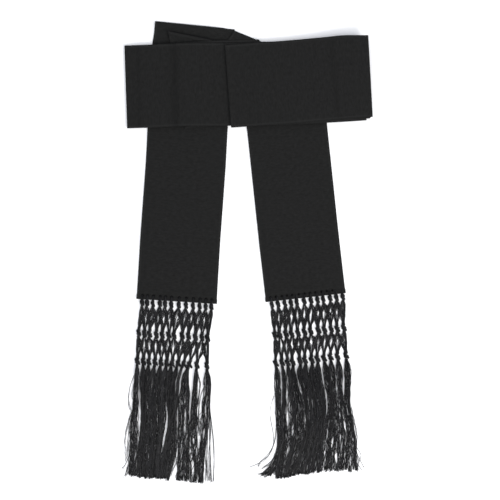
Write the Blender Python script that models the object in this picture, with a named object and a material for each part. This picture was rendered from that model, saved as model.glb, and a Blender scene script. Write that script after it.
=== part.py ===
"""Band cincture in black cloth, laid flat, with two fringed falls.

One strip of cloth is folded flat into a waist loop. Two falls hang from it and end in a
knotted net with tassels. All sizes below are in millimetres, +Z up, +Y towards the band.
The origin is on the floor, in the middle of the outline.
"""
import math

import bmesh
import bpy

MILLIMETRE = 0.001

# Cloth and its layers

CLOTH = 1.6
LAYER_GAP = 0.3
LAYER = CLOTH + LAYER_GAP
BAND_WIDTH = 127.0
FALL_WIDTH = 121.6

FALL_Z = CLOTH / 2
TUCK_Z = FALL_Z + LAYER
BACK_Z = TUCK_Z + LAYER
LEFT_FRONT_Z = BACK_Z + LAYER
RIGHT_FRONT_Z = LEFT_FRONT_Z + LAYER

# Waist band: centre line of each layer, as (x, y) from left to right

BACK_LINE = (
    (-186.0, 252.4), (-150.0, 254.0), (-116.0, 255.4), (-80.0, 257.8), (-52.0, 259.6),
    (-31.0, 260.3), (1.0, 262.3), (30.0, 258.8), (60.0, 258.9), (116.0, 263.4),
    (160.0, 267.4), (190.0, 269.8),
)
LEFT_FRONT_LINE = (
    (-186.0, 252.4), (-150.0, 253.6), (-102.0, 255.6), (-28.0, 256.2), (60.0, 258.0),
    (133.0, 261.4), (180.0, 264.4),
)
RIGHT_FRONT_LINE = (
    (-30.0, 252.9), (20.0, 256.6), (60.0, 259.3), (116.0, 264.0), (160.0, 268.0),
    (190.0, 269.8),
)
LEFT_FOLD_X = -185.4
RIGHT_FOLD_X = 189.6
LEFT_FRONT_END_X = 178.7
RIGHT_FRONT_END_X = -29.2
BAND_STATION = 15.0
BAND_CELLS = 2
FOLD_STEPS = 6

# The band's right end stands off the floor, most at its top corner

LIFT_HEIGHT = 14.0
LIFT_START_X = 40.0
LIFT_LOW_EDGE = 1.1

# Falls: rows up the cloth, as centre x, centre y and tilt of the cross line in degrees

LEFT_FALL = (
    (-108.3, -76.4, -3.6),
    (-102.9, 18.0, -3.9),
    (-94.6, 133.0, -4.0),
    (-88.4, 252.0, -4.0),
    (-84.6, 314.0, -5.2),
)
LEFT_TOP = (-81.5, 346.6, -6.3)
LEFT_CROSS = (0.0, 0.1, 0.25, 0.4, 0.55, 0.7, 0.82, 0.9, 1.0)
RIDGE_ACROSS = (0.3, 0.45, 0.7, 0.85, 1.0, 1.0, 0.9, 0.0, 0.0)
RIDGE_PROFILE = (
    {"from_edge": 12.0, "height": 0.0},
    {"from_edge": 9.5, "height": 1.9},
    {"from_edge": 6.5, "height": 3.2},
    {"from_edge": 3.5, "height": 3.4},
    {"from_edge": 1.2, "height": 2.4},
    {"from_edge": 0.0, "height": 0.8},
)

RIGHT_FALL = (
    (89.7, -70.5, 6.4),
    (79.6, 18.0, 6.3),
    (67.4, 133.0, 6.4),
    (61.2, 189.6, 6.6),
)
TURN_LEFT = (-20.2, 338.6)
TURN_RIGHT = (110.0, 285.0)
TURNED_WAY = (-0.586, -0.810)
TURNED_LENGTH = 26.0
TURN_ROWS = 4

# Inner flap: the cloth's hidden end under the band, as rows of top and bottom points

INNER_FLAP = (
    {"top": (-121.0, 337.6), "bottom": (-95.4, 187.3)},
    {"top": (-87.0, 330.7), "bottom": (-74.0, 190.5)},
    {"top": (-53.5, 323.8), "bottom": (-52.0, 193.8)},
)

# Fringe: distance of each level from the hem, half width of a bunch and its height there

STRIP_TOP = 0.3
STRIP_BOTTOM = 2.6
KNOT_LEVELS = (
    {"row": "a", "from_hem": 8.0, "half": 3.1, "low": 0.25, "high": 4.6},
    {"row": "a", "from_hem": 13.5, "half": 2.3, "low": 0.4, "high": 2.8},
    {"row": "ab", "from_hem": 17.5, "half": None, "low": 0.4, "high": 2.3},
    {"row": "ab", "from_hem": 27.0, "half": None, "low": 0.4, "high": 2.1},
    {"row": "ab", "from_hem": 37.0, "half": None, "low": 0.4, "high": 2.3},
    {"row": "b", "from_hem": 47.0, "half": 2.2, "low": 0.4, "high": 2.8},
    {"row": "b", "from_hem": 52.5, "half": 3.1, "low": 0.25, "high": 4.6},
    {"row": "b", "from_hem": 58.5, "half": 2.2, "low": 0.4, "high": 2.8},
    {"row": "bc", "from_hem": 64.5, "half": None, "low": 0.4, "high": 2.3},
    {"row": "bc", "from_hem": 73.0, "half": None, "low": 0.4, "high": 2.1},
    {"row": "bc", "from_hem": 82.0, "half": None, "low": 0.4, "high": 2.3},
    {"row": "c", "from_hem": 90.0, "half": 2.2, "low": 0.4, "high": 2.8},
    {"row": "c", "from_hem": 95.5, "half": 3.0, "low": 0.25, "high": 4.4},
    {"row": "c", "from_hem": 102.0, "half": 2.4, "low": 0.4, "high": 2.8},
)
SLIT_HALF = 0.8
EDGE_HALF = 2.7
EDGE_ROUNDING = 0.6
LOCKS = 7
LOCK_GAP = 0.4
LOCK_MIN = 0.45
MIDDLE_FROM_HEM = 130.0
LOWER_FROM_HEM = 222.0
LOWER_SHARE = 0.22
TIP_SHARE = 0.6
TIP_STEP = 1.6
TASSEL_HEIGHTS = {"middle": 2.7, "lower": 2.3, "tip": 1.0}

# Fringe bunches, left to right along the hem: where each is tied in its three rows of
# knots, and how far its tassel reaches at the middle and at the tips

BUNCH_COLUMNS = (
    "row_a", "row_b", "row_c", "middle_left", "middle_right", "tip_left", "tip_right", "length",
)
LEFT_BUNCHES = (
    (-52.7, -54.8, -54.2, -55.8, -48.6, -64.6, -49.3, 271.0),
    (-45.1, -46.0, -44.9, -47.7, -40.6, -48.1, -39.4, 272.0),
    (-36.0, -38.1, -36.4, -39.7, -32.2, -38.4, -30.0, 272.0),
    (-25.4, -27.8, -26.9, -31.3, -23.8, -28.9, -20.8, 271.8),
    (-17.4, -18.7, -17.7, -22.9, -15.4, -19.7, -12.2, 271.6),
    (-7.9, -8.7, -8.8, -14.4, -7.0, -11.3, -3.9, 271.8),
    (3.8, -0.5, -0.4, -6.0, 1.2, -3.0, 3.8, 271.4),
    (14.7, 11.9, 9.0, 2.1, 8.8, 4.5, 11.5, 270.2),
    (25.6, 21.6, 17.8, 9.8, 15.2, 14.6, 23.8, 272.8),
    (35.8, 32.3, 26.3, 16.6, 30.0, 25.0, 35.4, 273.6),
    (45.0, 42.3, 37.4, 33.0, 40.7, 36.5, 48.5, 274.0),
    (53.9, 50.9, 52.6, 49.9, 59.0, 49.6, 70.7, 274.0),
)
RIGHT_BUNCHES = (
    (-52.7, -53.2, -56.7, -62.7, -56.1, -108.5, -80.6, 259.5),
    (-43.4, -45.8, -47.0, -53.2, -45.6, -79.7, -70.5, 269.6),
    (-32.8, -36.2, -38.7, -43.9, -35.0, -69.5, -60.6, 270.5),
    (-23.5, -27.7, -31.0, -33.7, -21.8, -59.3, -50.5, 269.8),
    (-14.4, -17.7, -19.7, -19.1, -12.6, -49.2, -40.4, 268.8),
    (-2.9, -7.6, -11.8, -11.4, -5.7, -39.1, -30.2, 268.0),
    (7.5, 1.9, -1.6, -4.7, 1.4, -29.0, -19.4, 267.6),
    (17.5, 13.8, 7.4, 2.3, 9.4, -18.1, -7.8, 267.0),
    (26.5, 23.2, 17.5, 12.0, 17.5, -6.5, 4.6, 266.8),
    (37.1, 33.5, 27.8, 18.7, 29.1, 5.7, 18.4, 267.8),
    (46.7, 42.8, 38.5, 31.2, 35.8, 19.4, 32.8, 269.6),
    (56.6, 53.0, 51.9, 36.7, 48.3, 33.9, 53.4, 272.0),
)

# Colours, as linear values

CLOTH_COLOUR = (0.017, 0.017, 0.018, 1.0)
FRINGE_COLOUR = (0.012, 0.012, 0.013, 1.0)


def clear_scene():
    for found in list(bpy.data.objects):
        bpy.data.objects.remove(found, do_unlink=True)


def plain_material(name, colour, roughness):
    material = bpy.data.materials.new(name)
    material.use_nodes = True
    shader = material.node_tree.nodes["Principled BSDF"]
    shader.inputs["Base Color"].default_value = colour
    shader.inputs["Roughness"].default_value = roughness
    shader.inputs["Metallic"].default_value = 0.0
    return material


def between(first, second, share):
    return tuple(one + (two - one) * share for one, two in zip(first, second))


def line_y(line, x):
    """Height of a smooth curve through a table of (x, y) points, and its slope."""
    last = len(line) - 2
    index = 0
    while index < last and line[index + 1][0] < x:
        index += 1
    (x0, y0), (x1, y1) = line[index], line[index + 1]
    before = line[max(index - 1, 0)]
    after = line[min(index + 2, len(line) - 1)]
    slope0 = (y1 - before[1]) / (x1 - before[0])
    slope1 = (after[1] - y0) / (after[0] - x0)
    span = x1 - x0
    t = (x - x0) / span
    y = (
        y0 * (2 * t**3 - 3 * t**2 + 1)
        + slope0 * span * (t**3 - 2 * t**2 + t)
        + y1 * (3 * t**2 - 2 * t**3)
        + slope1 * span * (t**3 - t**2)
    )
    slope = (
        (y1 - y0) * 6 * (t - t**2) / span
        + slope0 * (3 * t**2 - 4 * t + 1)
        + slope1 * (3 * t**2 - 2 * t)
    )
    return y, slope


def build_object(name, bm, material):
    bmesh.ops.recalc_face_normals(bm, faces=bm.faces)
    mesh = bpy.data.meshes.new(name)
    bm.to_mesh(mesh)
    bm.free()
    made = bpy.data.objects.new(name, mesh)
    bpy.context.collection.objects.link(made)
    mesh.materials.append(material)
    mesh.shade_smooth()
    mesh.set_sharp_from_angle(angle=math.radians(35))
    return made


def new_vertex(bm, point):
    return bm.verts.new([value * MILLIMETRE for value in point])


def station(first, second, z, normal):
    """One cross line of a cloth strip: its two edge points, height and outer side."""
    return {"first": first, "second": second, "z": z, "normal": normal}


def fold(first, second, out, z_from, z_to):
    """Cross lines round a fold whose far side is at first and second, along out."""
    radius = abs(z_from - z_to) / 2
    reach = radius + CLOTH / 2
    side = math.copysign(1.0, z_from - z_to)
    rows = []
    for step in range(FOLD_STEPS + 1):
        angle = math.pi * step / FOLD_STEPS
        shift = radius * math.sin(angle) - reach
        a, b = [(p[0] + out[0] * shift, p[1] + out[1] * shift) for p in (first, second)]
        z = (z_from + z_to) / 2 + side * radius * math.cos(angle)
        normal = (out[0] * math.sin(angle), out[1] * math.sin(angle), side * math.cos(angle))
        rows.append(station(a, b, z, normal))
    return rows


def strip_mesh(stations, shares, lift=None, ridge=None):
    """A closed cloth wall through the cross lines, with a point at each share of them."""
    bm = bmesh.new()
    outer, inner = [], []
    for row_index, row in enumerate(stations):
        for side, rows in ((1, outer), (-1, inner)):
            points = []
            for column, share in enumerate(shares):
                x, y = between(row["first"], row["second"], share)
                x += row["normal"][0] * side * CLOTH / 2
                y += row["normal"][1] * side * CLOTH / 2
                z = row["z"] + row["normal"][2] * side * CLOTH / 2
                if lift:
                    z += lift(x, y)
                if ridge and side == 1:
                    z += ridge[row_index] * RIDGE_ACROSS[column]
                points.append(new_vertex(bm, (x, y, z)))
            rows.append(points)
    last = len(shares) - 1
    for row in range(len(stations) - 1):
        for column in range(last):
            for grid in (outer, inner):
                bm.faces.new((
                    grid[row][column], grid[row][column + 1],
                    grid[row + 1][column + 1], grid[row + 1][column],
                ))
        for column in (0, last):
            bm.faces.new((
                outer[row][column], outer[row + 1][column],
                inner[row + 1][column], inner[row][column],
            ))
    for row in (0, len(stations) - 1):
        for column in range(last):
            bm.faces.new((
                outer[row][column], outer[row][column + 1],
                inner[row][column + 1], inner[row][column],
            ))
    return bm


def even_shares(cells):
    return [index / cells for index in range(cells + 1)]


def band_cross(line, x):
    """Top and bottom points of the band where its centre line passes x."""
    y, slope = line_y(line, x)
    length = math.hypot(1.0, slope)
    across = (-slope / length, 1 / length)
    half = BAND_WIDTH / 2
    return (x + across[0] * half, y + across[1] * half), (x - across[0] * half, y - across[1] * half)


def band_places(start, end):
    """Station places from start to end, at whole steps so that the layers match."""
    low, high = min(start, end), max(start, end)
    places = [low]
    x = math.ceil((low + 2) / BAND_STATION) * BAND_STATION
    while x < high - 2:
        places.append(x)
        x += BAND_STATION
    places.append(high)
    if start > end:
        places.reverse()
    return places


def band_layer(line, start, end, z, side):
    return [station(*band_cross(line, x), z, (0.0, 0.0, side)) for x in band_places(start, end)]


def band_fold(line, x, way, z_from, z_to):
    slope = line_y(line, x)[1]
    length = math.hypot(1.0, slope)
    return fold(*band_cross(line, x), (way / length, way * slope / length), z_from, z_to)


def band_lift(x, y):
    """How far the band stands up at its right end, most at the top edge."""
    if x <= LIFT_START_X:
        return 0.0
    along = (x - LIFT_START_X) / (RIGHT_FOLD_X - LIFT_START_X)
    across = (y - line_y(RIGHT_FRONT_LINE, min(x, RIGHT_FOLD_X))[0]) / (BAND_WIDTH / 2)
    return LIFT_HEIGHT * along**2 * (across + LIFT_LOW_EDGE) / (1 + LIFT_LOW_EDGE)


def make_waist_band(material):
    """The whole loop: left front, left fold, back run, right fold, right front."""
    left_reach = (LEFT_FRONT_Z - BACK_Z) / 2 + CLOTH / 2
    right_reach = (RIGHT_FRONT_Z - BACK_Z) / 2 + CLOTH / 2
    left_end = LEFT_FOLD_X + left_reach
    right_end = RIGHT_FOLD_X - right_reach
    stations = band_layer(LEFT_FRONT_LINE, LEFT_FRONT_END_X, left_end, LEFT_FRONT_Z, 1.0)[:-1]
    stations += band_fold(BACK_LINE, LEFT_FOLD_X, -1.0, LEFT_FRONT_Z, BACK_Z)
    stations += band_layer(BACK_LINE, left_end, right_end, BACK_Z, -1.0)[1:-1]
    stations += band_fold(RIGHT_FRONT_LINE, RIGHT_FOLD_X, 1.0, BACK_Z, RIGHT_FRONT_Z)
    stations += band_layer(
        RIGHT_FRONT_LINE, right_end, RIGHT_FRONT_END_X, RIGHT_FRONT_Z, 1.0
    )[1:]
    bm = strip_mesh(stations, even_shares(BAND_CELLS), lift=band_lift)
    return build_object("waist_band", bm, material)


def fall_cross(row, shift=0.0):
    """Left and right points of a fall at one row, moved down the cloth by shift."""
    x, y, tilt = row
    along = (math.cos(math.radians(tilt)), math.sin(math.radians(tilt)))
    x += along[1] * shift
    y -= along[0] * shift
    half = FALL_WIDTH / 2
    left = (x - along[0] * half, y - along[1] * half)
    right = (x + along[0] * half, y + along[1] * half)
    return left, right


def make_left_fall(material):
    """Flat panel whose top end is a soft roll beyond the band."""
    up = (0.0, 0.0, 1.0)
    stations = [station(*fall_cross(row), FALL_Z, up) for row in LEFT_FALL]
    ridge = [0.0] * len(stations)
    for row in RIDGE_PROFILE:
        stations.append(station(*fall_cross(LEFT_TOP, row["from_edge"]), FALL_Z, up))
        ridge.append(row["height"])
    bm = strip_mesh(stations, LEFT_CROSS, ridge=ridge)
    return build_object("left_fall", bm, material)


def make_right_fall(material):
    """Flat panel turned over along a slanting fold at its top, under the band."""
    down = (0.0, 0.0, -1.0)
    stations = [station(*fall_cross(row), FALL_Z, down) for row in RIGHT_FALL]
    width = math.dist(TURN_LEFT, TURN_RIGHT)
    out = ((TURN_LEFT[1] - TURN_RIGHT[1]) / width, (TURN_RIGHT[0] - TURN_LEFT[0]) / width)
    turn = fold(TURN_LEFT, TURN_RIGHT, out, FALL_Z, TUCK_Z)
    low = stations[-1]
    for step in range(1, TURN_ROWS):
        share = step / TURN_ROWS
        first = between(low["first"], turn[0]["first"], share)
        second = between(low["second"], turn[0]["second"], share)
        stations.append(station(first, second, FALL_Z, down))
    stations += turn
    shift = (TURNED_WAY[0] * TURNED_LENGTH, TURNED_WAY[1] * TURNED_LENGTH)
    ends = [(p[0] + shift[0], p[1] + shift[1]) for p in (turn[-1]["first"], turn[-1]["second"])]
    stations.append(station(*ends, TUCK_Z, (0.0, 0.0, 1.0)))
    bm = strip_mesh(stations, even_shares(4))
    return build_object("right_fall", bm, material)


def make_inner_flap(material):
    up = (0.0, 0.0, 1.0)
    stations = [station(row["top"], row["bottom"], TUCK_Z, up) for row in INNER_FLAP]
    return build_object("inner_flap", strip_mesh(stations, even_shares(2)), material)


class FringeMesh:
    """A flat net and its tassels, as cells between shared upright pairs of points."""

    def __init__(self, hem):
        self.bm = bmesh.new()
        self.hem = hem
        self.cells = []

    def pair(self, along, from_hem, low, high):
        """Upright pair of points at a place along the hem and below it."""
        x, y, tilt = self.hem
        u = (math.cos(math.radians(tilt)), math.sin(math.radians(tilt)))
        px = x + u[0] * along + u[1] * from_hem
        py = y + u[1] * along - u[0] * from_hem
        return new_vertex(self.bm, (px, py, low)), new_vertex(self.bm, (px, py, high))

    def cell(self, *pairs):
        """One piece of the flat: its lower and upper faces."""
        self.cells.append(pairs)
        self.bm.faces.new([pair[0] for pair in pairs])
        self.bm.faces.new([pair[1] for pair in pairs])

    def close_sides(self):
        """Walls along every edge that only one cell has."""
        count = {}
        for pairs in self.cells:
            for index, pair in enumerate(pairs):
                following = pairs[(index + 1) % len(pairs)]
                key = frozenset((pair, following))
                count.setdefault(key, []).append((pair, following))
        for found in count.values():
            if len(found) == 1:
                (low0, high0), (low1, high1) = found[0]
                self.bm.faces.new((low0, low1, high1, high0))


def bunch_rows(table):
    return [dict(zip(BUNCH_COLUMNS, row)) for row in table]


def bunch_centre(bunch, row):
    """Where a bunch lies along the hem in a row of knots, or between two rows."""
    return sum(bunch["row_" + letter] for letter in row) / len(row)


def knot_pairs(fringe, bunch, level):
    """Left, centre and right pairs of a bunch where it is tied."""
    centre = bunch_centre(bunch, level["row"])
    edge_high = level["low"] + (level["high"] - level["low"]) * EDGE_ROUNDING
    places = (
        (centre - level["half"], edge_high),
        (centre, level["high"]),
        (centre + level["half"], edge_high),
    )
    return [fringe.pair(x, level["from_hem"], level["low"], high) for x, high in places]


def net_level(fringe, bunches, level, slit):
    """Pairs of every bunch at a level where the neighbours' halves meet."""
    centres = [bunch_centre(bunch, level["row"]) for bunch in bunches]
    joints = [centres[0] - EDGE_HALF]
    joints += [(one + two) / 2 for one, two in zip(centres, centres[1:])]
    joints.append(centres[-1] + EDGE_HALF)
    heights = (level["low"], level["high"])
    met = [fringe.pair(x, level["from_hem"], *heights) for x in joints]
    rows = []
    for index, centre in enumerate(centres):
        if slit:
            inner = [
                fringe.pair(centre + side * SLIT_HALF, level["from_hem"], *heights)
                for side in (-1, 1)
            ]
        else:
            inner = [fringe.pair(centre, level["from_hem"], *heights)]
        rows.append([met[index], *inner, met[index + 1]])
    return rows


def join_levels(fringe, above, below):
    """Cells of one bunch between two levels, left half and right half."""
    fringe.cell(above[0], above[1], below[1], below[0])
    fringe.cell(above[-2], above[-1], below[-1], below[-2])


def strip_places(bunches):
    """Points of the heading strip: its ends, and the edges and centre of each bunch."""
    half = KNOT_LEVELS[1]["half"]
    places = [-FALL_WIDTH / 2 + 1.0]
    for bunch in bunches:
        places += [bunch["row_a"] - half, bunch["row_a"], bunch["row_a"] + half]
    places.append(FALL_WIDTH / 2 - 1.0)
    return places


def heading_strip(fringe, bunches):
    """Narrow strip along the hem that all bunches grow from; returns their roots."""
    places = strip_places(bunches)
    top = [fringe.pair(x, STRIP_TOP, STRIP_TOP, CLOTH) for x in places]
    low = [fringe.pair(x, STRIP_BOTTOM, STRIP_TOP, CLOTH) for x in places]
    for index in range(len(places) - 1):
        fringe.cell(top[index], top[index + 1], low[index + 1], low[index])
    return [low[1 + 3 * index:4 + 3 * index] for index in range(len(bunches))]


def lock_edges(left, right, index, share):
    """Left and right edge of one lock of a tassel that spans left to right."""
    pitch = (right - left) / LOCKS
    middle = left + pitch * (index + 0.5)
    half = max(pitch - LOCK_GAP, LOCK_MIN) / 2 * share
    return middle - half, middle + half


def add_tassel(fringe, bunch, number, knot):
    """Locks of one bunch, side by side, from its last knot to their tips."""
    level = KNOT_LEVELS[-1]
    left = bunch["row_c"] - level["half"]
    step = 2 * level["half"] / LOCKS
    roots = [knot[0]]
    for index in range(1, LOCKS):
        roots.append(fringe.pair(left + index * step, level["from_hem"], level["low"], level["high"]))
    roots.append(knot[-1])
    middle = (bunch["middle_left"], bunch["middle_right"])
    tip = (bunch["tip_left"], bunch["tip_right"])
    lower = between(middle, tip, LOWER_SHARE)
    for index in range(LOCKS):
        shorter = TIP_STEP * ((number * 5 + index * 3) % LOCKS)
        levels = (
            (middle, MIDDLE_FROM_HEM, TASSEL_HEIGHTS["middle"], 1.0),
            (lower, LOWER_FROM_HEM, TASSEL_HEIGHTS["lower"], 1.0),
            (tip, bunch["length"] - shorter, TASSEL_HEIGHTS["tip"], TIP_SHARE),
        )
        above = (roots[index], roots[index + 1])
        for span, from_hem, high, share in levels:
            edges = lock_edges(*span, index, share)
            below = [fringe.pair(x, from_hem, STRIP_TOP, high) for x in edges]
            fringe.cell(above[0], above[1], below[1], below[0])
            above = below
    return roots


def make_fringe(name, hem, table, material):
    bunches = bunch_rows(table)
    fringe = FringeMesh(hem)
    above = heading_strip(fringe, bunches)
    for index, level in enumerate(KNOT_LEVELS[:-1]):
        if level["half"] is None:
            slit = KNOT_LEVELS[index - 1]["half"] is None and KNOT_LEVELS[index + 1]["half"] is None
            below = net_level(fringe, bunches, level, slit)
        else:
            below = [knot_pairs(fringe, bunch, level) for bunch in bunches]
        for upper, lower in zip(above, below):
            join_levels(fringe, upper, lower)
        above = below
    for number, bunch in enumerate(bunches):
        knot = above[number]
        last = KNOT_LEVELS[-1]
        edge_high = last["low"] + (last["high"] - last["low"]) * EDGE_ROUNDING
        ends = [
            fringe.pair(bunch["row_c"] + side * last["half"], last["from_hem"], last["low"], edge_high)
            for side in (-1, 1)
        ]
        roots = add_tassel(fringe, bunch, number, ends)
        fringe.cell(knot[0], knot[1], knot[2], *reversed(roots))
    fringe.close_sides()
    return build_object(name, fringe.bm, material)


def main():
    clear_scene()
    cloth = plain_material("black_cloth", CLOTH_COLOUR, 0.85)
    threads = plain_material("black_fringe", FRINGE_COLOUR, 0.5)
    make_waist_band(cloth)
    make_inner_flap(cloth)
    make_left_fall(cloth)
    make_right_fall(cloth)
    make_fringe("left_fringe", LEFT_FALL[0], LEFT_BUNCHES, threads)
    make_fringe("right_fringe", RIGHT_FALL[0], RIGHT_BUNCHES, threads)


main()
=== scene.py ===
# %% [markdown]
# # A band cincture in black cloth
#
# A band cincture is a wide, flat belt that is worn over a cassock. This one lies flat on a
# pale surface: its waist band is folded into a flat loop, and two long falls hang from it.
# Each fall ends in a net of knotted threads and in tassels.
#
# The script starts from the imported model, which gives every place and size in metres. The
# plain solids are then replaced by real looking cloth and by real threads.

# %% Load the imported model
import math

import bpy
import numpy as np
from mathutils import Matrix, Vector


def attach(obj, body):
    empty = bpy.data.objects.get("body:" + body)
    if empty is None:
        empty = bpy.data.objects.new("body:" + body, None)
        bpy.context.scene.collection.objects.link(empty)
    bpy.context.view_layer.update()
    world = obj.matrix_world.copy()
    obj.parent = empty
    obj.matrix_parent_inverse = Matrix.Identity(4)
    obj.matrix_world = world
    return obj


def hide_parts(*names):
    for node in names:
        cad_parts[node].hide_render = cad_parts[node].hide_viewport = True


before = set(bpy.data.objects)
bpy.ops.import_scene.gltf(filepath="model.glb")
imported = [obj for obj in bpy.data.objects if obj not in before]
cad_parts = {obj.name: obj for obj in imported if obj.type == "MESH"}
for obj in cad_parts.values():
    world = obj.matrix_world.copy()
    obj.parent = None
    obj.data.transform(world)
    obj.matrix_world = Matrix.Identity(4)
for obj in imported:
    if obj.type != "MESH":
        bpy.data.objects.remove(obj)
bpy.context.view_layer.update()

MM = 0.001

# %% [markdown]
# ## Camera
#
# The garment was photographed from straight above with a long lens, so its edges show no
# perspective. A camera high over the floor with a long lens gives the same flat view. The
# lens is worked out from how much of the floor the square picture has to show.

# %% Camera
VIEW_WIDTH = 0.767
VIEW_HEIGHT_ABOVE_FLOOR = 3.5
VIEW_CENTRE = (0.0043, 0.00245)
SENSOR_WIDTH = 36.0

bpy.ops.object.select_all(action="DESELECT")
bpy.ops.object.camera_add(location=(*VIEW_CENTRE, VIEW_HEIGHT_ABOVE_FLOOR), rotation=(0, 0, 0))
camera = bpy.context.object
camera.name = "camera_above"
camera.data.sensor_width = SENSOR_WIDTH
camera.data.lens = SENSOR_WIDTH * VIEW_HEIGHT_ABOVE_FLOOR / VIEW_WIDTH
bpy.context.scene.camera = camera
print("lens in millimetres:", round(camera.data.lens, 1))

# %% [markdown]
# ## Material helpers
#
# Every material here starts from the same shader, and adds nodes that write a fine pattern
# over it. Three short functions make a material, add a node to it and join its sockets.

# %% Material helpers
def start_material(name, roughness, specular):
    material = bpy.data.materials.new(name)
    material.use_nodes = True
    shader = material.node_tree.nodes["Principled BSDF"]
    shader.inputs["Roughness"].default_value = roughness
    shader.inputs["Specular IOR Level"].default_value = specular
    return material, shader


def add_node(material, kind, inputs=None, **settings):
    """A new node with its settings, and with the given numbers on its input sockets."""
    node = material.node_tree.nodes.new(kind)
    for name, value in settings.items():
        setattr(node, name, value)
    for name, value in (inputs or {}).items():
        node.inputs[name].default_value = value
    return node


def join_nodes(material, *rows):
    """Join nodes: each row is a node, its output, the next node and its input."""
    for source, output, target, entry in rows:
        material.node_tree.links.new(source.outputs[output], target.inputs[entry])


print("material helpers are ready")

# %% [markdown]
# ## Floor and light
#
# The surface is a plain pale one, lit so brightly that only faint bluish shadows are left
# on it. Black cloth needs that: soft light from all round shows its layers, while a small
# lamp would give hard shadows. A pale sky does half of the work. A large lamp stands low
# on the right, below the fringes: it lights the slopes that face it, and leaves a dark
# line behind the upper and left edge of every layer. A second one, higher on the left,
# keeps those shadows pale on the floor.

# %% Floor
FLOOR_SIZE = 6.0
FLOOR_COLOUR = (0.93, 0.93, 0.935, 1.0)

bpy.ops.mesh.primitive_plane_add(size=FLOOR_SIZE, location=(0, 0, 0))
floor = bpy.context.object
floor.name = "floor"
floor_paint, floor_shader = start_material("pale_floor", 0.9, 0.1)
floor_shader.inputs["Base Color"].default_value = FLOOR_COLOUR
floor.data.materials.append(floor_paint)
print("floor side in metres:", FLOOR_SIZE)

# %% Light
SKY_COLOUR = (0.91, 0.94, 1.0, 1.0)
SKY_STRENGTH = 0.95
LAMPS = (
    {"name": "lamp_low_right", "place": (1.5, -1.2, 1.9), "watts": 48.0, "size": 1.0},
    {"name": "lamp_high_left", "place": (-0.5, -0.3, 2.7), "watts": 18.0, "size": 1.8},
)
LAMP_COLOUR = (1.0, 0.975, 0.945)

world = bpy.data.worlds.new("studio")
bpy.context.scene.world = world
world.use_nodes = True
sky = world.node_tree.nodes["Background"]
sky.inputs["Color"].default_value = SKY_COLOUR
sky.inputs["Strength"].default_value = SKY_STRENGTH
for row in LAMPS:
    bpy.ops.object.light_add(type="AREA", location=row["place"])
    lamp = bpy.context.object
    lamp.name = row["name"]
    lamp.data.energy = row["watts"]
    lamp.data.size = row["size"]
    lamp.data.color = LAMP_COLOUR
    lamp.rotation_euler = Vector(row["place"]).to_track_quat("Z", "Y").to_euler()
bpy.context.scene.view_settings.view_transform = "Standard"
bpy.context.scene.view_settings.look = "None"
print("lamps:", len(LAMPS))

# %% [markdown]
# ## The cloth's finish
#
# The cloth is a plain, matt black wool faille: fine ribs run across the strip, some threads
# are a little thicker than the others, and the dye is slightly uneven. One flat colour would
# look like card. A lighter tone is also painted just inside every pressed edge as a highlight,
# and shade is painted into the holes of the hem and along the band's creases. The pattern
# reads the cloth's own UV map, which is laid out in metres, so the ribs follow the cloth round
# its folds and have their real size everywhere. A Mix node has several sockets of each name,
# so its colour sockets are picked by their number.

# %% Black cloth
RIB = 0.0007
WAVE_PERIOD = 0.314
RIB_WAVE = {"Scale": WAVE_PERIOD / RIB, "Distortion": 0.6, "Detail": 1.0}
WARP_WAVE = {"Scale": WAVE_PERIOD / (RIB * 0.6), "Distortion": 0.4}
BLACK_CLOTH = (0.0078, 0.0078, 0.0076, 1.0)
# The lighter tone: the uneven dye, and the painted highlight along the pressed edges.
LIGHT_TONE_AND_HIGHLIGHT = (0.0152, 0.0152, 0.0149, 1.0)
# Painted shade, for the holes of the hem and the band's creases.
HOLE_SHADE_BLACK = (0.0006, 0.0006, 0.0006, 1.0)
MIX_FIRST = 6
MIX_SECOND = 7
MIX_RESULT = 2


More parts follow.
